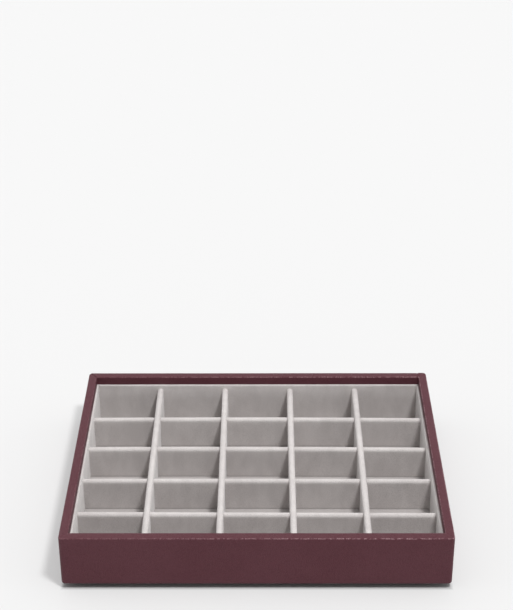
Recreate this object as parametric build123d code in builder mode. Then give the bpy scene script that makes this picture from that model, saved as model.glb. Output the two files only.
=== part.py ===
from build123d import *

import os

# Stackable jewelry tray: a leatherette tray with a velvet insert of 25 compartments.
# Millimetres, X to the right, Y from front to back, Z up. The origin is the middle of the
# underside of the plinth, on the surface the tray stands on.

# Outside of the tray
tray_width = 250.0
tray_depth = 188.0
wall_height = 37.5
plinth_drop = 3.4

# Thickness of the sheets and boards
leather = 0.5
wall_board = 4.9
base_thickness = 0.5
floor_pile = 0.3
liner_card = 0.7
liner_pile = 0.5
divider_board = 2.8
divider_pile = 0.7
felt = 0.5

# Insert: how far each top edge lies below the rim
recess_depth = 6.5
long_divider_depth = 9.3
cross_divider_depth = 12.5
columns = 5
rows = 5

# Folds and joints
flap_drop = 16.0
turn_in = 6.7
rebate_width = 2.4
plinth_inset = 6.9

# Roundings of the covered walls
corner_radius = 2.4
rim_outer_radius = 1.0
rim_inner_radius = 0.8
foot_radius = 2.0
plinth_corner = 3.0
plinth_edge = 0.8
liner_edge = 0.4

# Levels, worked out from the sizes above
wall_foot = plinth_drop
rim_top = wall_foot + wall_height
board_foot = wall_foot + leather
board_top = rim_top - leather
floor_board_top = board_foot + base_thickness
floor_top = floor_board_top + floor_pile
liner_top = rim_top - recess_depth
long_top = rim_top - long_divider_depth
cross_top = rim_top - cross_divider_depth

# Plan sizes, worked out from the sizes above
board_width = tray_width - 2 * leather
board_depth = tray_depth - 2 * leather
frame_width = board_width - 2 * wall_board
frame_depth = board_depth - 2 * wall_board
recess_width = frame_width - 2 * leather
recess_length = frame_depth - 2 * leather
liner = liner_card + liner_pile
insert_width = recess_width - 2 * liner
insert_depth = recess_length - 2 * liner
divider = divider_board + 2 * divider_pile
cell_width = (insert_width - (columns - 1) * divider) / columns
cell_depth = (insert_depth - (rows - 1) * divider) / rows
column_pitch = cell_width + divider
row_pitch = cell_depth + divider
lap_level = (floor_top + cross_top) / 2

os.makedirs("parts", exist_ok=True)


def save(builder, label):
    """Label a finished piece and write it to its own file."""
    builder.part.label = label
    export_step(builder.part, f"parts/{label}.step")


# The wall boards, first as one ring with the rebate for the base board
with BuildPart() as board_ring:
    with BuildSketch(Plane.XY.offset(board_foot)):
        RectangleRounded(board_width, board_depth, corner_radius - leather)
    extrude(amount=board_top - board_foot)
    fillet(board_ring.faces().sort_by(Axis.Z)[-1].edges(), radius=rim_outer_radius - leather)
    fillet(board_ring.faces().sort_by(Axis.Z)[0].edges(), radius=foot_radius - leather)
    with BuildSketch(Plane.XY.offset(board_foot)):
        Rectangle(frame_width, frame_depth)
    extrude(amount=board_top - board_foot, mode=Mode.SUBTRACT)
    rim_edges = board_ring.faces().sort_by(Axis.Z)[-1].inner_wires()[0].edges()
    fillet(rim_edges, radius=rim_inner_radius - leather)
    with BuildSketch(Plane.XY.offset(board_foot)):
        Rectangle(frame_width + 2 * rebate_width, frame_depth + 2 * rebate_width)
    extrude(amount=base_thickness, mode=Mode.SUBTRACT)

# Front and back boards run the full width, the side boards stand between them
for name, side in (("front", -1), ("back", 1)):
    with BuildPart() as end_board:
        add(board_ring.part)
        with BuildSketch():
            with Locations((0, side * (frame_depth + wall_board) / 2)):
                Rectangle(board_width, wall_board)
        extrude(amount=rim_top, mode=Mode.INTERSECT)
    save(end_board, f"{name}_board")
for name, side in (("left", -1), ("right", 1)):
    with BuildPart() as side_board:
        add(board_ring.part)
        with BuildSketch():
            with Locations((side * (frame_width + wall_board) / 2, 0)):
                Rectangle(wall_board, frame_depth)
        extrude(amount=rim_top, mode=Mode.INTERSECT)
    save(side_board, f"{name}_board")

# The base board drops into the rebate
with BuildPart() as base_board:
    with BuildSketch(Plane.XY.offset(board_foot)):
        Rectangle(frame_width + 2 * rebate_width, frame_depth + 2 * rebate_width)
    extrude(amount=base_thickness)
save(base_board, "base_board")

# The leatherette, first as one skin round the boards: it is turned in under the walls,
# goes up outside, over the rim and down behind the lining
with BuildPart() as skin:
    with BuildSketch(Plane.XY.offset(wall_foot)):
        RectangleRounded(tray_width, tray_depth, corner_radius)
    extrude(amount=wall_height)
    fillet(skin.faces().sort_by(Axis.Z)[-1].edges(), radius=rim_outer_radius)
    fillet(skin.faces().sort_by(Axis.Z)[0].edges(), radius=foot_radius)
    with BuildSketch(Plane.XY.offset(wall_foot)):
        Rectangle(tray_width - 2 * turn_in, tray_depth - 2 * turn_in)
    extrude(amount=leather, mode=Mode.SUBTRACT)
    with BuildSketch(Plane.XY.offset(board_foot)):
        Rectangle(recess_width, recess_length)
    extrude(amount=rim_top - board_foot, mode=Mode.SUBTRACT)
    rim_edges = skin.faces().sort_by(Axis.Z)[-1].inner_wires()[0].edges()
    fillet(rim_edges, radius=rim_inner_radius)
    with BuildSketch(Plane.XY.offset(board_foot)):
        Rectangle(frame_width, frame_depth)
    extrude(amount=rim_top - flap_drop - board_foot, mode=Mode.SUBTRACT)
    add(board_ring.part, mode=Mode.SUBTRACT)
    with BuildSketch(Plane.XY.offset(board_foot)):
        Rectangle(frame_width + 2 * rebate_width, frame_depth + 2 * rebate_width)
    extrude(amount=base_thickness, mode=Mode.SUBTRACT)

# Cut into four strips along the mitres at the corners
half_width = tray_width / 2
half_depth = tray_depth / 2
mitre = 2 * turn_in
outer_corners = [
    (-half_width, -half_depth),
    (half_width, -half_depth),
    (half_width, half_depth),
    (-half_width, half_depth),
]
inner_corners = [
    (-half_width + mitre, -half_depth + mitre),
    (half_width - mitre, -half_depth + mitre),
    (half_width - mitre, half_depth - mitre),
    (-half_width + mitre, half_depth - mitre),
]
for index, name in enumerate(("front", "right", "back", "left")):
    following = (index + 1) % 4
    with BuildPart() as strip:
        add(skin.part)
        with BuildSketch():
            with BuildLine():
                Polyline(
                    outer_corners[index],
                    outer_corners[following],
                    inner_corners[following],
                    inner_corners[index],
                    close=True,
                )
            make_face()
        extrude(amount=rim_top, mode=Mode.INTERSECT)
    save(strip, f"{name}_wrap")

# The plinth: a board with rounded corners in a felt cover, glued under the base board
plinth_width = tray_width - 2 * plinth_inset
plinth_length = tray_depth - 2 * plinth_inset
with BuildPart() as plinth_board:
    with BuildSketch(Plane.XY.offset(felt)):
        RectangleRounded(plinth_width - 2 * felt, plinth_length - 2 * felt, plinth_corner - felt)
    extrude(amount=board_foot - felt)
    fillet(plinth_board.faces().sort_by(Axis.Z)[0].edges(), radius=plinth_edge - felt)
save(plinth_board, "plinth_board")

with BuildPart() as plinth_cover:
    with BuildSketch():
        RectangleRounded(plinth_width, plinth_length, plinth_corner)
    extrude(amount=board_foot)
    fillet(plinth_cover.faces().sort_by(Axis.Z)[0].edges(), radius=plinth_edge)
    add(plinth_board.part, mode=Mode.SUBTRACT)
save(plinth_cover, "plinth_cover")

# Velvet on the floor, under the whole insert
with BuildPart() as floor_velvet:
    with BuildSketch(Plane.XY.offset(floor_board_top)):
        Rectangle(recess_width, recess_length)
    extrude(amount=floor_pile)
save(floor_velvet, "floor_velvet")

# Lining of the walls: a card with velvet over its face and its top edge.
# The front and back linings run the full width, the side linings fit between them.
linings = (
    ("front", 0, -(recess_length - liner) / 2, -(recess_length - liner_card) / 2),
    ("back", 0, (recess_length - liner) / 2, (recess_length - liner_card) / 2),
    ("left", 90, -(recess_width - liner) / 2, -(recess_width - liner_card) / 2),
    ("right", 90, (recess_width - liner) / 2, (recess_width - liner_card) / 2),
)
for name, turn, lining_place, card_place in linings:
    length = insert_depth if turn else recess_width
    length_axis = Axis.Y if turn else Axis.X
    with BuildPart() as card:
        with BuildSketch(Plane.XY.offset(floor_top)):
            with Locations((card_place, 0) if turn else (0, card_place)):
                Rectangle(length, liner_card, rotation=turn)
        extrude(amount=liner_top - liner_pile - floor_top)
    save(card, f"{name}_liner_card")
    with BuildPart() as velvet:
        with BuildSketch(Plane.XY.offset(floor_top)):
            with Locations((lining_place, 0) if turn else (0, lining_place)):
                Rectangle(length, liner, rotation=turn)
        extrude(amount=liner_top - floor_top)
        top_edges = velvet.faces().sort_by(Axis.Z)[-1].edges()
        fillet(top_edges.filter_by(length_axis), radius=liner_edge)
        add(card.part, mode=Mode.SUBTRACT)
    save(velvet, f"{name}_liner_velvet")


def draw_upright(width, top):
    """Draw a divider's section in the open sketch: straight sides and a half-round top."""
    shoulder = top - width / 2
    with Locations((0, (floor_top + shoulder) / 2)):
        Rectangle(width, shoulder - floor_top)
    with Locations((0, shoulder)):
        Circle(width / 2)


# Dividers: a stiff board in a velvet sleeve. The long ones run from front to back and are
# slotted from below, the cross ones are slotted from above, and they slide together.
for index in range(columns - 1):
    place = (index - (columns - 2) / 2) * column_pitch
    plane = Plane((place, insert_depth / 2, 0), x_dir=(1, 0, 0), z_dir=(0, -1, 0))
    with BuildPart() as board:
        with BuildSketch(plane):
            draw_upright(divider_board, long_top - divider_pile)
        extrude(amount=insert_depth)
        with BuildSketch(Plane.XY.offset(floor_top)):
            with Locations((place, 0)):
                with GridLocations(1, row_pitch, 1, rows - 1):
                    Rectangle(2 * divider, divider)
        extrude(amount=lap_level - floor_top, mode=Mode.SUBTRACT)
    save(board, f"long_divider_board_{index + 1}")
    with BuildPart() as sleeve:
        with BuildSketch(plane):
            draw_upright(divider, long_top)
        extrude(amount=insert_depth)
        with BuildSketch(plane):
            draw_upright(divider_board, long_top - divider_pile)
        extrude(amount=insert_depth, mode=Mode.SUBTRACT)
        with BuildSketch(Plane.XY.offset(floor_top)):
            with Locations((place, 0)):
                with GridLocations(1, row_pitch, 1, rows - 1):
                    Rectangle(2 * divider, divider)
        extrude(amount=lap_level - floor_top, mode=Mode.SUBTRACT)
    save(sleeve, f"long_divider_velvet_{index + 1}")

for index in range(rows - 1):
    place = (index - (rows - 2) / 2) * row_pitch
    plane = Plane((-insert_width / 2, place, 0), x_dir=(0, 1, 0), z_dir=(1, 0, 0))
    with BuildPart() as board:
        with BuildSketch(plane):
            draw_upright(divider_board, cross_top - divider_pile)
        extrude(amount=insert_width)
        with BuildSketch(Plane.XY.offset(lap_level)):
            with Locations((0, place)):
                with GridLocations(column_pitch, 1, columns - 1, 1):
                    Rectangle(divider, 2 * divider)
        extrude(amount=cross_top - lap_level, mode=Mode.SUBTRACT)
    save(board, f"cross_divider_board_{index + 1}")
    with BuildPart() as sleeve:
        with BuildSketch(plane):
            draw_upright(divider, cross_top)
        extrude(amount=insert_width)
        with BuildSketch(plane):
            draw_upright(divider_board, cross_top - divider_pile)
        extrude(amount=insert_width, mode=Mode.SUBTRACT)
        with BuildSketch(Plane.XY.offset(lap_level)):
            with Locations((0, place)):
                with GridLocations(column_pitch, 1, columns - 1, 1):
                    Rectangle(divider, 2 * divider)
        extrude(amount=cross_top - lap_level, mode=Mode.SUBTRACT)
    save(sleeve, f"cross_divider_velvet_{index + 1}")
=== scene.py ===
import math

import bpy
from mathutils import Matrix, Vector


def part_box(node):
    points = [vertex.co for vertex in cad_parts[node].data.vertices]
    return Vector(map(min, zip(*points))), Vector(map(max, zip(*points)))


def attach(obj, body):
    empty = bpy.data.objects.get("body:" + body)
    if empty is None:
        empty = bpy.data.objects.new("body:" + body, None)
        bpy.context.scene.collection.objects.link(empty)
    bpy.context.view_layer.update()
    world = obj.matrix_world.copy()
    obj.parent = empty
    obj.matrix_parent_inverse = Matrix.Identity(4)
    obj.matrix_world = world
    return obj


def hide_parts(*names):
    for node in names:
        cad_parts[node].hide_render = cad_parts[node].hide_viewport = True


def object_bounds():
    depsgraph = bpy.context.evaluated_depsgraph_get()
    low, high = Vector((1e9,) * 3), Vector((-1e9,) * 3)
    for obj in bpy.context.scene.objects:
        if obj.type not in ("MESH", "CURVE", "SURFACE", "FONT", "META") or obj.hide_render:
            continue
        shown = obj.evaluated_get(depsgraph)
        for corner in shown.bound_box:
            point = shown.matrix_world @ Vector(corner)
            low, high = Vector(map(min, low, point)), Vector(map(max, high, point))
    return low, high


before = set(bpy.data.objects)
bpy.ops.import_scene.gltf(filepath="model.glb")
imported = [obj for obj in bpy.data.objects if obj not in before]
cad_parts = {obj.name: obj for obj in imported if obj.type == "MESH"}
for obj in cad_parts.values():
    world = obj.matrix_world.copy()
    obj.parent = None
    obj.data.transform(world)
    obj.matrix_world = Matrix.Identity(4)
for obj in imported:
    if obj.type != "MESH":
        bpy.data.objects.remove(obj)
cad_low, cad_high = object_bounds()

# Wall boards, base board and plinth board: hard brown board pressed from wood fibre, sawn to
# size and glued edge to edge. Leatherette, velvet and felt cover all of it.
mm = 0.001
board_nodes = (
    "front_board", "back_board", "left_board", "right_board", "base_board", "plinth_board"
)
fibre_light = (0.46, 0.36, 0.25, 1)
fibre_dark = (0.30, 0.21, 0.13, 1)
fibre_length = 3.0 * mm
fibre_width = 0.5 * mm
fibre_relief = 0.1 * mm


class Value:
    """The output of a node. Sums written with it add Math nodes to the same tree."""

    def __init__(self, nodes, socket):
        self.nodes = nodes
        self.socket = socket

    def __getitem__(self, name):
        """Another output of the same node, by its name."""
        outputs = self.socket.node.outputs
        return Value(self.nodes, next(s for s in outputs if s.name == name and s.enabled))

    def math(self, operation, *others):
        return self.nodes.math(operation, self, *others)

    def __add__(self, other):
        return self.nodes.math("ADD", self, other)

    def __radd__(self, other):
        return self.nodes.math("ADD", other, self)

    def __sub__(self, other):
        return self.nodes.math("SUBTRACT", self, other)

    def __rsub__(self, other):
        return self.nodes.math("SUBTRACT", other, self)

    def __mul__(self, other):
        return self.nodes.math("MULTIPLY", self, other)

    def __rmul__(self, other):
        return self.nodes.math("MULTIPLY", other, self)

    def __truediv__(self, other):
        return self.nodes.math("DIVIDE", self, other)

    def __rtruediv__(self, other):
        return self.nodes.math("DIVIDE", other, self)

    def between(self, low, high):
        """0 below the low value, 1 above the high one, and smooth in between."""
        return self.nodes.add(
            "ShaderNodeMapRange",
            {"interpolation_type": "SMOOTHSTEP"},
            {"Value": self, "From Min": low, "From Max": high},
        )


class Nodes:
    """A node tree that is being written, of a material, of the surroundings or of a modifier."""

    def __init__(self, tree):
        self.tree = tree
        tree.nodes.clear()

    def add(self, kind, settings=None, inputs=None):
        """Add a node: its settings first, then its sockets' values or links by name or number."""
        node = self.tree.nodes.new(kind)
        for name, setting in (settings or {}).items():
            setattr(node, name, setting)
        for name, value in (inputs or {}).items():
            if isinstance(name, int):
                socket = node.inputs[name]
            else:
                socket = next(s for s in node.inputs if s.name == name and s.enabled)
            if isinstance(value, Value):
                self.tree.links.new(value.socket, socket)
            else:
                socket.default_value = value
        return Value(self, next((s for s in node.outputs if s.enabled), None))

    def math(self, operation, *values):
        return self.add("ShaderNodeMath", {"operation": operation}, dict(enumerate(values)))

    def mix(self, factor, first, second):
        """Blend two colours."""
        inputs = {"Factor": factor, "A": first, "B": second}
        return self.add("ShaderNodeMix", {"data_type": "RGBA"}, inputs)

    def noise(self, place, size, detail=2.0):
        """Cloudy values from 0 to 1 whose patches are about this size."""
        inputs = {"Vector": place, "Scale": 1 / size, "Detail": detail}
        return self.add("ShaderNodeTexNoise", None, inputs)

    def place(self, scale=(1, 1, 1)):
        """A place on the object, stretched by a scale."""
        inputs = {"Vector": self.add("ShaderNodeTexCoord")["Object"], "Scale": scale}
        return self.add("ShaderNodeMapping", None, inputs)

    def surface(self, height, relief, **sockets):
        """End the material in one shader, with a height field of this relief as its bump."""
        inputs = {name.replace("_", " "): value for name, value in sockets.items()}
        inputs["Normal"] = self.add(
            "ShaderNodeBump", None, {"Distance": relief, "Height": height}
        )
        shader = self.add("ShaderNodeBsdfPrincipled", None, inputs)
        self.add("ShaderNodeOutputMaterial", None, {"Surface": shader})


def new_finish(name):
    """A new material and the nodes that it is written with."""
    material = bpy.data.materials.new(name)
    material.use_nodes = True
    return material, Nodes(material.node_tree)


def dress(names, material):
    """Give a material to solids that stay as they are."""
    for name in names:
        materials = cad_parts[name].data.materials
        materials.clear()
        materials.append(material)


fibreboard, nodes = new_finish("fibreboard")
fibres = nodes.noise(nodes.place((1, fibre_length / fibre_width, 1)), fibre_length, 4.0)
dust = nodes.noise(nodes.place(), fibre_width, 3.0)
shade = nodes.mix(fibres.between(0.35, 0.65), fibre_dark, fibre_light)
nodes.surface(
    fibres + 0.5 * dust,
    fibre_relief,
    Base_Color=nodes.mix(dust.between(0.3, 0.8), shade, fibre_light),
    Roughness=0.8 + 0.1 * dust,
)
dress(board_nodes, fibreboard)

# Leatherette: a wine-red coated cloth with a fine pebbled grain, pasted round the wall boards.
# Each side has its own strip: turned in under the wall, up outside, over the rim and down behind
# the lining. They meet in mitres, but at the back right corner one is folded over the other.
leather = 0.5 * mm
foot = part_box("front_wrap")[0].z
rim = cad_high.z
turn_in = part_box("front_wrap")[1].y - cad_low.y
wall = cad_high.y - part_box("back_liner_velvet")[1].y
flap_drop = 16.0 * mm
corner_radius = 2.4 * mm
corner_zone = 9.0 * mm
foot_radius = 2.0 * mm
rim_outer_radius = 1.0 * mm
rim_inner_radius = 0.8 * mm
# How much of the painted highlight the folds at the foot and at the rim carry
foot_glint = 0.6
rim_glint = 1.0
bend_steps = 6
sharp_edge = math.radians(35)
wine = (0.0905, 0.0285, 0.0375, 1)
wine_light = (0.127, 0.051, 0.063, 1)
wine_dark = (0.072, 0.0221, 0.0294, 1)
# Colour of the painted highlight on the folds
wine_glint = (0.40, 0.25, 0.27, 1)
grain_size = 0.85 * mm
grain_wander = 0.9 * mm
grain_relief = 0.05 * mm
pore_size = 0.35 * mm
cloud_size = 28 * mm
bead_size = 1.6 * mm
# The painted highlight is faintest at this x and brightest at that one, towards the key light
dimmest_glint_x = -140 * mm
brightest_glint_x = 120 * mm

leatherette, nodes = new_finish("leatherette")
place = nodes.place()
drift = nodes.noise(place, 2.2 * grain_size)["Color"]
bent = nodes.add(
    "ShaderNodeVectorMath",
    {"operation": "MULTIPLY_ADD"},
    {0: drift, 1: (grain_wander,) * 3, 2: place},
)
pebbles = nodes.add(
    "ShaderNodeTexVoronoi",
    {"feature": "DISTANCE_TO_EDGE"},
    {"Vector": bent, "Scale": 1 / grain_size},
).between(0.0, 0.24)
pores = nodes.noise(place, pore_size, 1.0)
clouds = nodes.noise(place, cloud_size, 3.0).between(0.35, 0.65)
# Painted highlight: glints painted pale on the pebbles of the folds, brighter towards the right of
# the tray on the side of the key light
fold = nodes.add("ShaderNodeAttribute", {"attribute_name": "fold"})["Fac"]
rightward = nodes.add("ShaderNodeSeparateXYZ", None, {"Vector": place})["X"]
glint_rightward = 0.3 + 0.7 * rightward.between(dimmest_glint_x, brightest_glint_x)
glint_beads = fold.math("POWER", 4) * pebbles * nodes.noise(place, bead_size, 1.0).between(0.38, 0.56)
painted_glint = glint_beads * glint_rightward
tone = nodes.mix(pebbles, wine_dark, wine)
tone = nodes.mix(0.1 * clouds, tone, wine_light)
nodes.surface(
    pebbles + 0.25 * pores,
    grain_relief,
    Base_Color=nodes.mix(0.8 * painted_glint, tone, wine_glint),
    Roughness=0.56 - 0.08 * pebbles - 0.1 * painted_glint,
    Specular_IOR_Level=0.16,
    IOR=1.47,
)


def bent_line(corners, radii, spacing, marks):
    """Points along a line bent square at its corners, each as (inset, height, fold)."""
    corners = [Vector(corner) for corner in corners]
    bends = [[(corners[0], 0.0)]]
    turns = zip(corners, corners[1:], corners[2:], radii, marks)
    for before, corner, after, radius, mark in turns:
        back = (before - corner).normalized() * radius
        ahead = (after - corner).normalized() * radius
        centre = corner + back + ahead
        bend = []
        for step in range(bend_steps + 1 if radius else 1):
            angle = math.pi / 2 * step / bend_steps
            point = centre - ahead * math.cos(angle) - back * math.sin(angle)
            bend.append((point, mark * math.sin(2 * angle) ** 0.5 if radius else 0.0))
        bends.append(bend)
    bends.append([(corners[-1], 0.0)])
    points = []
    for bend, following in zip(bends, bends[1:]):
        points += bend
        (start, _), (end, _) = bend[-1], following[0]
        count = max(1, round((end - start).length / spacing))
        points += [(start.lerp(end, step / count), 0.0) for step in range(1, count)]
    points += bends[-1]
    return [(point.x, point.y, mark) for point, mark in points]


def section(name, corners, radii, thickness, spacing, marks=None):
    """The outline of a bent sheet: its face, and its back on the right-hand side of the face."""
    flat = [0.0] * len(radii)
    sides = [Vector(b) - Vector(a) for a, b in zip(corners, corners[1:])]
    inward = [Vector((side.y, -side.x)).normalized() * thickness for side in sides]
    steps = [inward[0], *[a + b for a, b in zip(inward, inward[1:])], inward[-1]]
    back = [tuple(Vector(corner) + step) for corner, step in zip(corners, steps)]
    back_radii = [max(radius - thickness, 0.0) for radius in radii]
    face = bent_line(corners, radii, spacing, marks or flat)
    behind = bent_line(back, back_radii, 10 * spacing, flat)[::-1]
    outline = [point + (1.0,) for point in face] + [point + (0.0,) for point in behind]
    insets, heights, folds, faces = zip(*outline)
    points = [(inset, height, 0.0) for inset, height in zip(insets, heights)]
    edges = [(index, (index + 1) % len(points)) for index in range(len(points))]
    return line(name, points, edges, inset=insets, height=heights, fold=folds, face=faces)


def line(name, points, edges, **marks):
    """A mesh of edges only, with a named value at each point for each mark."""
    mesh = bpy.data.meshes.new(name)
    mesh.from_pydata(points, edges, [])
    for mark, values in marks.items():
        mesh.attributes.new(mark, "FLOAT", "POINT").data.foreach_set("value", values)
    return bpy.data.objects.new(name, mesh)


def run(name, stations):
    """The piece to be made, so far only a straight line through its stations."""
    points = [(station, 0.0, 0.0) for station in stations]
    edges = [(index, index + 1) for index in range(len(points) - 1)]
    piece = line(name, points, edges, run=stations)
    bpy.context.scene.collection.objects.link(piece)
    return piece


def new_tree(name, inputs):
    """A modifier's tree with named inputs, and the values that come in through them."""
    tree = bpy.data.node_groups.new(name, "GeometryNodeTree")
    for label, kind in {"Geometry": "Geometry", **inputs}.items():
        tree.interface.new_socket(label, in_out="INPUT", socket_type=f"NodeSocket{kind}")
    tree.interface.new_socket("Geometry", in_out="OUTPUT", socket_type="NodeSocketGeometry")
    nodes = Nodes(tree)
    return tree, nodes, nodes.add("NodeGroupInput")


def marked(nodes, mark):
    """The value that a mark has at each point of the sheet."""
    settings = {"data_type": "FLOAT"}
    return nodes.add("GeometryNodeInputNamedAttribute", settings, {"Name": mark})


def sweep(nodes, given):
    """Carry the section along the piece's line, and read where each point lies in it."""
    drawn = nodes.add("GeometryNodeObjectInfo", None, {"Object": given["Section"]})["Geometry"]
    path = nodes.add("GeometryNodeMeshToCurve", None, {"Mesh": given["Geometry"]})
    profile = nodes.add("GeometryNodeMeshToCurve", None, {"Mesh": drawn})
    inputs = {"Curve": path, "Profile Curve": profile, "Fill Caps": True}
    sheet = nodes.add("GeometryNodeCurveToMesh", None, inputs)
    return sheet, marked(nodes, "run"), marked(nodes, "inset"), marked(nodes, "height")


def put(nodes, sheet, x, y, z):
    """Move every point of a sheet to x, y and z."""
    position = nodes.add("ShaderNodeCombineXYZ", None, {"X": x, "Y": y, "Z": z})
    return nodes.add("GeometryNodeSetPosition", None, {"Geometry": sheet, "Position": position})


def ripple(nodes, sheet, seed, waves, share):
    """Push a sheet in and out along its normals, by waves of (size, height)."""
    position = nodes.add("GeometryNodeInputPosition")
    push = 0.0
    for size, height in waves:
        inputs = {"Vector": position, "W": seed, "Scale": 1 / size, "Detail": 1.0}
        cloud = nodes.add("ShaderNodeTexNoise", {"noise_dimensions": "4D"}, inputs)
        push = push + (cloud - 0.5) * 2 * height
    normal = nodes.add("GeometryNodeInputNormal")
    inputs = {"Vector": normal, "Scale": push * share}
    offset = nodes.add("ShaderNodeVectorMath", {"operation": "SCALE"}, inputs)
    return nodes.add("GeometryNodeSetPosition", None, {"Geometry": sheet, "Offset": offset})


def end_tree(nodes, sheet, given, move, turn):
    """Face the sheet outwards, turn it, move it to its place, and give it its material."""
    outward = nodes.add("GeometryNodeFlipFaces", None, {"Mesh": sheet})
    rotation = nodes.add("ShaderNodeCombineXYZ", None, {"Z": turn})
    inputs = {"Geometry": outward, "Translation": move, "Rotation": rotation}
    placed = nodes.add("GeometryNodeTransform", None, inputs)
    real = nodes.add("GeometryNodeRealizeInstances", None, {"Geometry": placed})
    inputs = {"Geometry": real, "Material": given["Finish"]}
    nodes.add("NodeGroupOutput", None, {0: nodes.add("GeometryNodeSetMaterial", None, inputs)})


def make(piece, tree, values):
    """Run a tree on a piece with its input values, and keep the result as a plain mesh."""
    modifier = piece.modifiers.new(tree.name, "NODES")
    modifier.node_group = tree
    for item in tree.interface.items_tree:
        if item.in_out == "INPUT" and item.name in values:
            modifier[item.identifier] = values[item.name]
    depsgraph = bpy.context.evaluated_depsgraph_get()
    mesh = bpy.data.meshes.new_from_object(piece.evaluated_get(depsgraph), depsgraph=depsgraph)
    piece.modifiers.clear()
    piece.data = mesh
    for mark in ("run", "inset", "height", "face"):
        if mark in mesh.attributes:
            mesh.attributes.remove(mesh.attributes[mark])
    mesh.shade_smooth()
    mesh.set_sharp_from_angle(angle=sharp_edge)


strip_tree, nodes, given = new_tree("folded_strip", {
    "Section": "Object",
    "Reach": "Float",
    "Length": "Float",
    "Turn": "Float",
    "Left Crease": "Float",
    "Right Crease": "Float",
    "Left Lap": "Float",
    "Right Rise": "Float",
    "Seed": "Float",
    "Finish": "Material",
})
sheet, along, inset, height = sweep(nodes, given)
face = marked(nodes, "face")
half = given["Length"] / 2
side = along.math("SIGN")
distance = along.math("ABSOLUTE")
at_right = 0.5 + 0.5 * side
at_left = 1 - at_right
# Near a corner the sheet is cut on the mitre, and outside the radius it goes round the corner
mitred = distance - inset * ((distance - half + corner_zone) / corner_zone).math("MAXIMUM", 0)
arc_start = half - corner_radius
angle = ((distance - arc_start) / corner_radius).math("MAXIMUM", 0) * (math.pi / 4)
arm = corner_radius - inset
rounded = distance.math("MINIMUM", arc_start) + arm * angle.math("SINE")
outside = inset.math("LESS_THAN", corner_radius)
reach_x = mitred + outside * (rounded - mitred)
depth_y = inset + outside * (corner_radius - arm * angle.math("COSINE") - inset)
# A crease where two strips meet on the rim, or a low step where one is folded over the other.
# The one on top rises to the height of the step before it gets there
crease_start, crease_full = 1.3 * mm, 0.2 * mm
crease_bed, crease_bank = 0.1 * mm, 0.75 * mm
lap_reach = 6.2 * mm
lap_edge = 0.4 * mm
lap_rise = 0.2 * mm
rise_start, rise_end = 20 * mm, 7 * mm
on_rim = height.between(rim - crease_start, rim - crease_full)
lap = given["Left Lap"] * at_left
seam = (1 - lap) * (half - depth_y) + lap * (half - lap_reach)
crease = at_left * given["Left Crease"] + at_right * given["Right Crease"]
groove = crease * (1 - (reach_x - seam).math("ABSOLUTE").between(crease_bed, crease_bank))
low_step = lap * lap_rise * reach_x.between(half - lap_reach, half - lap_reach + lap_edge)
rise = at_right * given["Right Rise"] * reach_x.between(half - rise_start, half - rise_end)
level = height + on_rim * face * (low_step + rise - groove)
sheet = put(nodes, sheet, side * reach_x, depth_y - given["Reach"], level)
# The sheet isn't pasted down quite even, but it lies close at its ends
leather_waves = ((30 * mm, 0.06 * mm), (9 * mm, 0.02 * mm))
away = (half - distance).between(0.0, corner_zone)
sheet = ripple(nodes, sheet, given["Seed"], leather_waves, away * face)
end_tree(nodes, sheet, given, (0, 0, 0), given["Turn"])

sheet_spacing = 2 * mm
strip_section = section(
    "strip_section",
    [(turn_in, foot), (0, foot), (0, rim), (wall, rim), (wall, rim - flap_drop)],
    [foot_radius, rim_outer_radius, rim_inner_radius],
    leather,
    sheet_spacing,
    marks=[foot_glint, rim_glint, rim_glint],
)


def strip_stations(half):
    """Places along a strip: closest round its corners, and close together over its mitres."""
    corner_gap, corner_steps = 0.25 * mm, 10
    mitre_gap, mitre_steps = 0.5 * mm, 17
    gaps = [corner_gap * step for step in range(corner_steps + 1)]
    gaps += [gaps[-1] + mitre_gap * step for step in range(1, mitre_steps + 1)]
    ends = [half - gap for gap in gaps]
    inner = ends[-1]
    count = round(2 * inner / sheet_spacing)
    middle = [-inner + 2 * inner * step / count for step in range(1, count)]
    return [-end for end in ends] + middle + ends[::-1]


# Each strip: its side, half its length, how far out it stands, its turn, the depths in mm of the
# creases at its left and right ends, and whether its left end has the step and its right end rises
half_width, half_depth = cad_high.x, cad_high.y
strips = (
    ("front", half_width, half_depth, 0, (0.10, 0.10), (0, 0)),
    ("right", half_depth, half_width, 90, (0.10, 0.0), (0, 1)),
    ("back", half_width, half_depth, 180, (0.35, 0.40), (1, 0)),
    ("left", half_depth, half_width, 270, (0.40, 0.10), (0, 0)),
)
for name, half_length, reach, turn, (left_crease, right_crease), (laps, rises) in strips:
    strip = run(f"leatherette_{name}", strip_stations(half_length))
    make(strip, strip_tree, {
        "Section": strip_section,
        "Reach": reach,
        "Length": 2 * half_length,
        "Turn": math.radians(turn),
        "Left Crease": left_crease * mm,
        "Right Crease": right_crease * mm,
        "Left Lap": float(laps),
        "Right Rise": rises * lap_rise,
        "Seed": 3.0 + turn / 90,
        "Finish": leatherette,
    })
    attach(strip, "root")
    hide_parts(f"{name}_wrap")

# Plinth cover: charcoal felt, pasted over the plinth board and up its sides. The plinth is glued
# under the base board and drops into the recess of the tray below when trays are stacked.
felt = 0.5 * mm
plinth_corner = 3.0 * mm
plinth_edge = 0.8 * mm
plinth_edge_steps = 5
under_margin = 3.0 * mm
least_corner = 0.2 * mm
charcoal = (0.075, 0.070, 0.075, 1)
charcoal_light = (0.14, 0.13, 0.135, 1)
tuft_size = 1.1 * mm
hair_size = 1.6 * mm
wear_size = 35 * mm
felt_relief = 0.25 * mm

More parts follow.
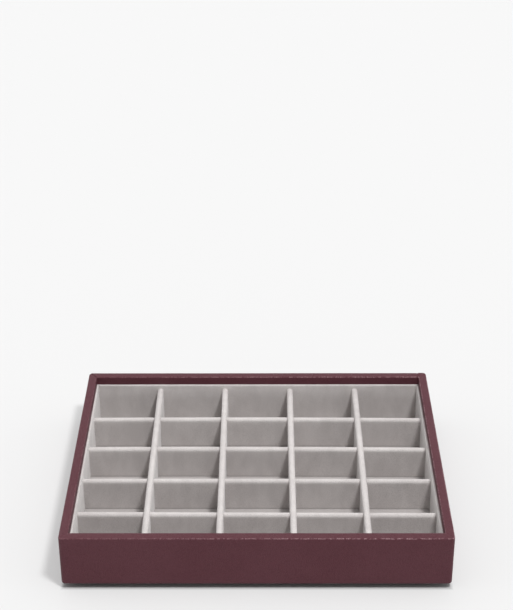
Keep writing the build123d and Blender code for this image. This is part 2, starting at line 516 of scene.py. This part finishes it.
felted, nodes = new_finish("charcoal_felt")
place = nodes.place()
tufts = nodes.noise(place, tuft_size, 4.0)
hairs = nodes.add("ShaderNodeTexNoise", None, {
    "Vector": nodes.place((1, 5, 2)), "Scale": 1 / hair_size, "Detail": 4.0, "Distortion": 2.5
})
wear = nodes.noise(place, wear_size, 2.0).between(0.3, 0.7)
lightness = hairs.between(0.45, 0.75) * (0.35 + 0.3 * wear)
nodes.surface(
    tufts + 0.6 * hairs,
    felt_relief,
    Base_Color=nodes.mix(lightness, charcoal, charcoal_light),
    Roughness=0.92 - 0.05 * tufts,
    Sheen_Weight=0.35,
    Sheen_Roughness=0.5,
)


def plan_loop(half_x, half_y, radius, level):
    """A level rectangle with rounded corners, as points going round it."""
    points = []
    for quarter, (x, y) in enumerate(((1, 1), (-1, 1), (-1, -1), (1, -1))):
        for step in range(bend_steps + 1):
            angle = math.pi / 2 * (quarter + step / bend_steps)
            points.append((
                x * (half_x - radius) + radius * math.cos(angle),
                y * (half_y - radius) + radius * math.sin(angle),
                level,
            ))
    return points


# Loops as (how far in, height): down the outside, round the lower edge, in under the board, and
# back up the inside
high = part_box("plinth_cover")[1]
cover_loops = [(felt, high.z), (0, high.z), (0, (high.z + plinth_edge) / 2)]
for step in range(plinth_edge_steps + 1):
    angle = math.pi / 2 * step / plinth_edge_steps
    cover_loops.append((
        plinth_edge * (1 - math.cos(angle)), plinth_edge * (1 - math.sin(angle))
    ))
cover_loops += [(under_margin, 0.0), (under_margin, felt), (felt, felt)]
points, faces = [], []
for shrink, level in cover_loops:
    corner = max(plinth_corner - shrink, least_corner)
    points += plan_loop(high.x - shrink, high.y - shrink, corner, level)
loop_count = len(cover_loops)
round_count = len(points) // loop_count
under = loop_count - 3
for ring in range(loop_count):
    start, following = ring * round_count, (ring + 1) % loop_count * round_count
    if ring == under:
        # One flat face closes the felt below, and one above it
        faces.append(list(range(start, start + round_count))[::-1])
        faces.append(list(range(following, following + round_count)))
        continue
    for index in range(round_count):
        after = (index + 1) % round_count
        faces.append((start + index, following + index, following + after, start + after))
mesh = bpy.data.meshes.new("felt_plinth")
mesh.from_pydata(points, [], faces)
mesh.materials.append(felted)
mesh.shade_smooth()
mesh.set_sharp_from_angle(angle=sharp_edge)
felt_plinth = bpy.data.objects.new("felt_plinth", mesh)
bpy.context.scene.collection.objects.link(felt_plinth)
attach(felt_plinth, "root")
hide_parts("plinth_cover")

# Lining cards and divider boards: grey card cut to size. The cards stand against the walls, and
# the divider boards are slotted half way so that they slide into each other at each crossing.
card_nodes = [f"{side}_liner_card" for side in ("front", "back", "left", "right")]
divider_nodes = [f"{way}_divider_board_{n}" for way in ("long", "cross") for n in (1, 2, 3, 4)]
card_grey = (0.36, 0.35, 0.32, 1)
card_dark = (0.24, 0.23, 0.21, 1)
pulp_size = 1.5 * mm
speck_size = 2.5 * mm
card_relief = 0.05 * mm

greycard, nodes = new_finish("grey_card")
pulp = nodes.noise(nodes.place((1, 1, 3)), pulp_size, 5.0)
specks = nodes.add(
    "ShaderNodeTexVoronoi", None, {"Vector": nodes.place(), "Scale": 1 / speck_size}
)
lightness = pulp.between(0.3, 0.7) * specks.between(0.05, 0.15)
nodes.surface(
    pulp,
    card_relief,
    Base_Color=nodes.mix(lightness, card_dark, card_grey),
    Roughness=0.82 + 0.1 * pulp,
)
dress(card_nodes + divider_nodes, greycard)

# Floor velvet: one sheet of light grey velvet, pasted on the base board under the whole insert,
# so that the cards and dividers stand on it.
velvet_grey = (0.495, 0.465, 0.456, 1)
velvet_pale = (0.585, 0.554, 0.543, 1)
velvet_deep = (0.35, 0.326, 0.319, 1)
pile_size = 0.45 * mm
stroke_size = 7 * mm
shadow_size = 38 * mm
velvet_relief = 0.16 * mm
# Heights above the floor where the painted shade at the foot is full and where it ends
foot_shade_full, foot_shade_end = 0.2 * mm, 1.8 * mm
floor_pile = 0.3 * mm
floor_softness = 0.06 * mm
velvet_waves = ((22 * mm, 1.0), (6 * mm, 0.5))
cutter_depth = 12 * mm

velvet, nodes = new_finish("velvet")
place = nodes.place()
pile = nodes.noise(place, pile_size, 2.0)
brushed = nodes.noise(nodes.place((1, 1, 0.45)), stroke_size, 3.0)
shadows = nodes.noise(place, shadow_size, 2.0)
nap = brushed.between(0.3, 0.7) * 0.6 + shadows.between(0.35, 0.65) * 0.4
# Painted shade: the velvet turns deep on the floor and over the lowest part of the dividers and
# linings, a painted seam of shade where they stand on it
height = nodes.add("ShaderNodeSeparateXYZ", None, {"Vector": place})["Z"]
floor_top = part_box("floor_velvet")[1].z
painted_foot_shade = 1 - height.between(floor_top + foot_shade_full, floor_top + foot_shade_end)
tone = nodes.mix(nap, velvet_grey, velvet_pale)
tone = nodes.mix(0.55 * (1 - pile.between(0.3, 0.55)), tone, velvet_deep)
nodes.surface(
    pile + 0.6 * brushed,
    velvet_relief,
    Base_Color=nodes.mix(0.7 * painted_foot_shade, tone, velvet_deep),
    Roughness=0.95 - 0.08 * nap,
    Sheen_Weight=0.25,
    Sheen_Roughness=0.4,
    Specular_IOR_Level=0.2,
)

velvet_tree, nodes, given = new_tree("velvet_sheet", {
    "Section": "Object",
    "Length": "Float",
    "Turn": "Float",
    "Place": "Vector",
    "Bow": "Float",
    "Tilt": "Float",
    "Crossings": "Int",
    "Pitch": "Float",
    "Slot Width": "Float",
    "Slot Foot": "Float",
    "Slot Top": "Float",
    "Softness": "Float",
    "Seed": "Float",
    "Finish": "Material",
})
sheet, along, inset, height = sweep(nodes, given)
sheet = put(nodes, sheet, along, inset, height)
# A row of blocks cuts the slots where this sheet crosses others
slot_size = nodes.add("ShaderNodeCombineXYZ", None, {
    "X": given["Slot Width"], "Y": cutter_depth, "Z": given["Slot Top"] - given["Slot Foot"]
})
first_slot = nodes.add("ShaderNodeCombineXYZ", None, {
    "X": (1 - given["Crossings"]) / 2 * given["Pitch"],
    "Z": (given["Slot Top"] + given["Slot Foot"]) / 2,
})
slot_gap = nodes.add("ShaderNodeCombineXYZ", None, {"X": given["Pitch"]})
places = nodes.add("GeometryNodeMeshLine", None, {
    "Count": given["Crossings"], "Start Location": first_slot, "Offset": slot_gap
})
cutter = nodes.add("GeometryNodeMeshCube", None, {"Size": slot_size})
cutters = nodes.add(
    "GeometryNodeInstanceOnPoints", None, {"Points": places, "Instance": cutter}
)
cutters = nodes.add("GeometryNodeRealizeInstances", None, {"Geometry": cutters})
sheet = nodes.add(
    "GeometryNodeMeshBoolean",
    {"operation": "DIFFERENCE", "solver": "MANIFOLD"},
    {"Mesh 1": sheet, "Mesh 2": cutters},
)
# It stands a little bowed and out of square
position = nodes.add("GeometryNodeInputPosition")
share = nodes.add("ShaderNodeSeparateXYZ", None, {"Vector": position})["X"] / given["Length"]
sideways = given["Bow"] * (share * math.pi).math("COSINE") + given["Tilt"] * share
shift = nodes.add("ShaderNodeCombineXYZ", None, {"Y": sideways})
sheet = nodes.add("GeometryNodeSetPosition", None, {"Geometry": sheet, "Offset": shift})
sheet = ripple(nodes, sheet, given["Seed"], velvet_waves, given["Softness"])
end_tree(nodes, sheet, given, given["Place"], given["Turn"])


def stations(length):
    """Evenly spaced places along a length."""
    count = round(length / sheet_spacing)
    return [length * (step / count - 0.5) for step in range(count + 1)]


def velvet_piece(name, node, length, outline, values):
    """Make one sheet of velvet along a length, in place of a solid."""
    piece = run(name, stations(length))
    values = {"Section": outline, "Length": length, "Finish": velvet, **values}
    make(piece, velvet_tree, values)
    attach(piece, "root")
    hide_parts(node)


low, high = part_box("floor_velvet")
floor_section = section(
    "floor_section", [(low.y, high.z), (high.y, high.z)], [], floor_pile, sheet_spacing
)
velvet_piece("velvet_floor", "floor_velvet", high.x - low.x, floor_section, {
    "Softness": floor_softness, "Seed": 1.0
})

# Lining of the walls: velvet pasted over a card, on its face and over its top edge. The front and
# back linings run the full width of the recess, and the side linings stand between them.
lining_pile = 0.5 * mm
lining_edge = 0.5 * mm
pasted_softness = 0.10 * mm
pasted_spacing = 1.5 * mm
low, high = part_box("back_liner_velvet")
lining = high.y - low.y
lining_section = section(
    "lining_section",
    [(0, high.z), (lining, high.z), (lining, low.z)],
    [lining_edge],
    lining_pile,
    pasted_spacing,
)
linings = (("front", 0), ("back", 180), ("left", 270), ("right", 90))
for index, (name, turn) in enumerate(linings):
    low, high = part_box(f"{name}_liner_velvet")
    length = high.x - low.x if turn in (0, 180) else high.y - low.y
    wall_side = {
        0: (0, low.y, 0), 180: (0, high.y, 0), 270: (low.x, 0, 0), 90: (high.x, 0, 0)
    }[turn]
    velvet_piece(f"lining_{name}", f"{name}_liner_velvet", length, lining_section, {
        "Turn": math.radians(turn),
        "Place": wall_side,
        "Softness": pasted_softness,
        "Seed": 10.0 + index,
    })

# Dividers: each a stiff board in a sleeve of velvet with a rounded top. The four long ones run
# from front to back, slotted from below; the four cross ones are lower, slotted from above.
sleeve_pile = 0.7 * mm
pressed = 0.3 * mm
slot_overrun = 1.0 * mm
long_boxes = [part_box(f"long_divider_velvet_{n}") for n in (1, 2, 3, 4)]
cross_boxes = [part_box(f"cross_divider_velvet_{n}") for n in (1, 2, 3, 4)]
long_bows = (0.15, -0.10, 0.10, -0.15)
cross_bows = (-0.1, 0.2, 0.5, 0.6)
cross_tilts = (-1.1, -0.4, -0.8, -0.6)
sleeve = long_boxes[0][1].x - long_boxes[0][0].x
sleeve_foot = long_boxes[0][0].z
long_top = long_boxes[0][1].z
cross_top = cross_boxes[0][1].z
lap_level = (sleeve_foot + cross_top) / 2
column_pitch = long_boxes[1][0].x - long_boxes[0][0].x
row_pitch = cross_boxes[1][0].y - cross_boxes[0][0].y


def sleeve_section(name, top):
    """The outline of a sleeve: up one side of the board, round its top and down the other."""
    left, right = -sleeve / 2, sleeve / 2
    corners = [(left, sleeve_foot), (left, top), (right, top), (right, sleeve_foot)]
    return section(name, corners, [sleeve / 2, sleeve / 2], sleeve_pile, pasted_spacing)


long_section = sleeve_section("long_sleeve_section", long_top)
cross_section = sleeve_section("cross_sleeve_section", cross_top)
for index, (low, high) in enumerate(long_boxes):
    name, node = f"sleeve_long_{index + 1}", f"long_divider_velvet_{index + 1}"
    velvet_piece(name, node, high.y - low.y, long_section, {
        "Turn": math.radians(90),
        "Place": ((low.x + high.x) / 2, 0, 0),
        "Bow": long_bows[index] * mm,
        "Crossings": len(cross_boxes),
        "Pitch": row_pitch,
        "Slot Width": sleeve - pressed,
        "Slot Foot": sleeve_foot - slot_overrun,
        "Slot Top": lap_level,
        "Softness": pasted_softness,
        "Seed": 20.0 + index,
    })
for index, (low, high) in enumerate(cross_boxes):
    name, node = f"sleeve_cross_{index + 1}", f"cross_divider_velvet_{index + 1}"
    velvet_piece(name, node, high.x - low.x, cross_section, {
        "Place": (0, (low.y + high.y) / 2, 0),
        "Bow": cross_bows[index] * mm,
        "Tilt": cross_tilts[index] * mm,
        "Crossings": len(long_boxes),
        "Pitch": column_pitch,
        "Slot Width": sleeve - pressed,
        "Slot Foot": lap_level,
        "Slot Top": cross_top + slot_overrun,
        "Softness": pasted_softness,
        "Seed": 30.0 + index,
    })
for outline in (strip_section, floor_section, lining_section, long_section, cross_section):
    bpy.data.objects.remove(outline)

# The table top, the light of the studio and the camera, which aren't part of the tray. The table
# is a large pale sheet, lit a little from below except under the tray. The light is a soft key
# light at the front right, and wide ones overhead, at the sides, behind and low all round.
table_size = 60.0
table_grey = (0.43, 0.43, 0.43, 1)
table_fleck = (0.42785, 0.42785, 0.42785, 1)
table_relief = 0.01 * mm
fleck_size = 2 * mm
table_glow = 0.29
unlit_margin = 1.5 * mm
key_place = Vector((0.365, -0.496, 1.42))
key_radius = 0.11
key_strength = 1.95
overhead_light = 1.9
side_light = 1.3
back_light = 1.1
edge_light = 2.0
edge_start, edge_end = 0.05, 0.3
light_focus = 6
low_tilt = math.radians(20)

table_finish, nodes = new_finish("pale_table")
flecks = nodes.noise(nodes.place(), fleck_size, 2.0)
spot = nodes.add("ShaderNodeSeparateXYZ", None, {"Vector": nodes.place()})
beyond_x = spot["X"].math("ABSOLUTE") - cad_high.x
beyond_y = spot["Y"].math("ABSOLUTE") - cad_high.y
lit = beyond_x.math("MAXIMUM", beyond_y).between(-unlit_margin, unlit_margin)
nodes.surface(
    flecks,
    table_relief,
    Base_Color=nodes.mix(flecks, table_grey, table_fleck),
    Roughness=0.95,
    Specular_IOR_Level=0.0,
    Emission_Color=nodes.mix(lit, (0, 0, 0, 1), (1, 1, 1, 1)),
    Emission_Strength=table_glow,
)
table_end = table_size / 2
mesh = bpy.data.meshes.new("table_top")
mesh.from_pydata(
    [(x * table_end, y * table_end, 0) for x, y in ((-1, -1), (1, -1), (1, 1), (-1, 1))],
    [],
    [(0, 1, 2, 3)],
)
mesh.materials.append(table_finish)
table_top = bpy.data.objects.new("table_top", mesh)
bpy.context.scene.collection.objects.link(table_top)

# The key light fades only in line with the distance, so that it is even over the table
key = bpy.data.objects.new("key_light", bpy.data.lights.new("key_light", "POINT"))
key.location = key_place
key.data.energy = 1.0
key.data.shadow_soft_size = key_radius
key.data.use_nodes = True
nodes = Nodes(key.data.node_tree)
steady = nodes.add(
    "ShaderNodeLightFalloff", None, {"Strength": 4 * math.pi * key_strength / key_place.z}
)["Constant"]
ray_length = nodes.add("ShaderNodeLightPath")["Ray Length"]
beam = nodes.add("ShaderNodeEmission", None, {"Strength": steady * ray_length})
nodes.add("ShaderNodeOutputLight", None, {"Surface": beam})
bpy.context.scene.collection.objects.link(key)

surroundings = bpy.data.worlds.new("studio")
surroundings.use_nodes = True
nodes = Nodes(surroundings.node_tree)
rays = nodes.add("ShaderNodeTexCoord")["Generated"]
heading = nodes.add("ShaderNodeSeparateXYZ", None, {"Vector": rays})
upward = heading["Z"]
aside = heading["X"].math("ABSOLUTE") * math.cos(low_tilt) + upward * math.sin(low_tilt)
behind = heading["Y"] * math.cos(low_tilt) + upward * math.sin(low_tilt)
glow = edge_light * (1 - upward.between(edge_start, edge_end))
for strength, facing in ((overhead_light, upward), (side_light, aside), (back_light, behind)):
    glow = glow + strength * facing.math("MAXIMUM", 0).math("POWER", light_focus)
shine = nodes.add("ShaderNodeBackground", None, {"Color": (1, 1, 1, 1), "Strength": glow})
nodes.add("ShaderNodeOutputWorld", None, {"Surface": shine})
bpy.context.scene.world = surroundings

camera_place = Vector((5.140, -805.546, 635.259)) * mm
pitch, yaw, roll = 0.47382, -0.00603, -0.00402
ahead = Vector((
    math.sin(yaw) * math.cos(pitch), math.cos(yaw) * math.cos(pitch), -math.sin(pitch)
))
level_right = Vector((math.cos(yaw), -math.sin(yaw), 0))
level_up = level_right.cross(ahead)
right = math.cos(roll) * level_right + math.sin(roll) * level_up
up = -math.sin(roll) * level_right + math.cos(roll) * level_up
camera_turn = Matrix((right, up, -ahead)).transposed().to_4x4()
camera = bpy.data.objects.new("camera", bpy.data.cameras.new("camera"))
camera.data.lens = 85.0138
camera.data.sensor_width = 36.0
camera.data.shift_y = -0.15
camera.data.clip_start = 0.01
camera.data.clip_end = 100.0
camera.matrix_world = Matrix.Translation(camera_place) @ camera_turn
bpy.context.scene.collection.objects.link(camera)
bpy.context.scene.camera = camera
bpy.context.scene.view_settings.view_transform = "Standard"
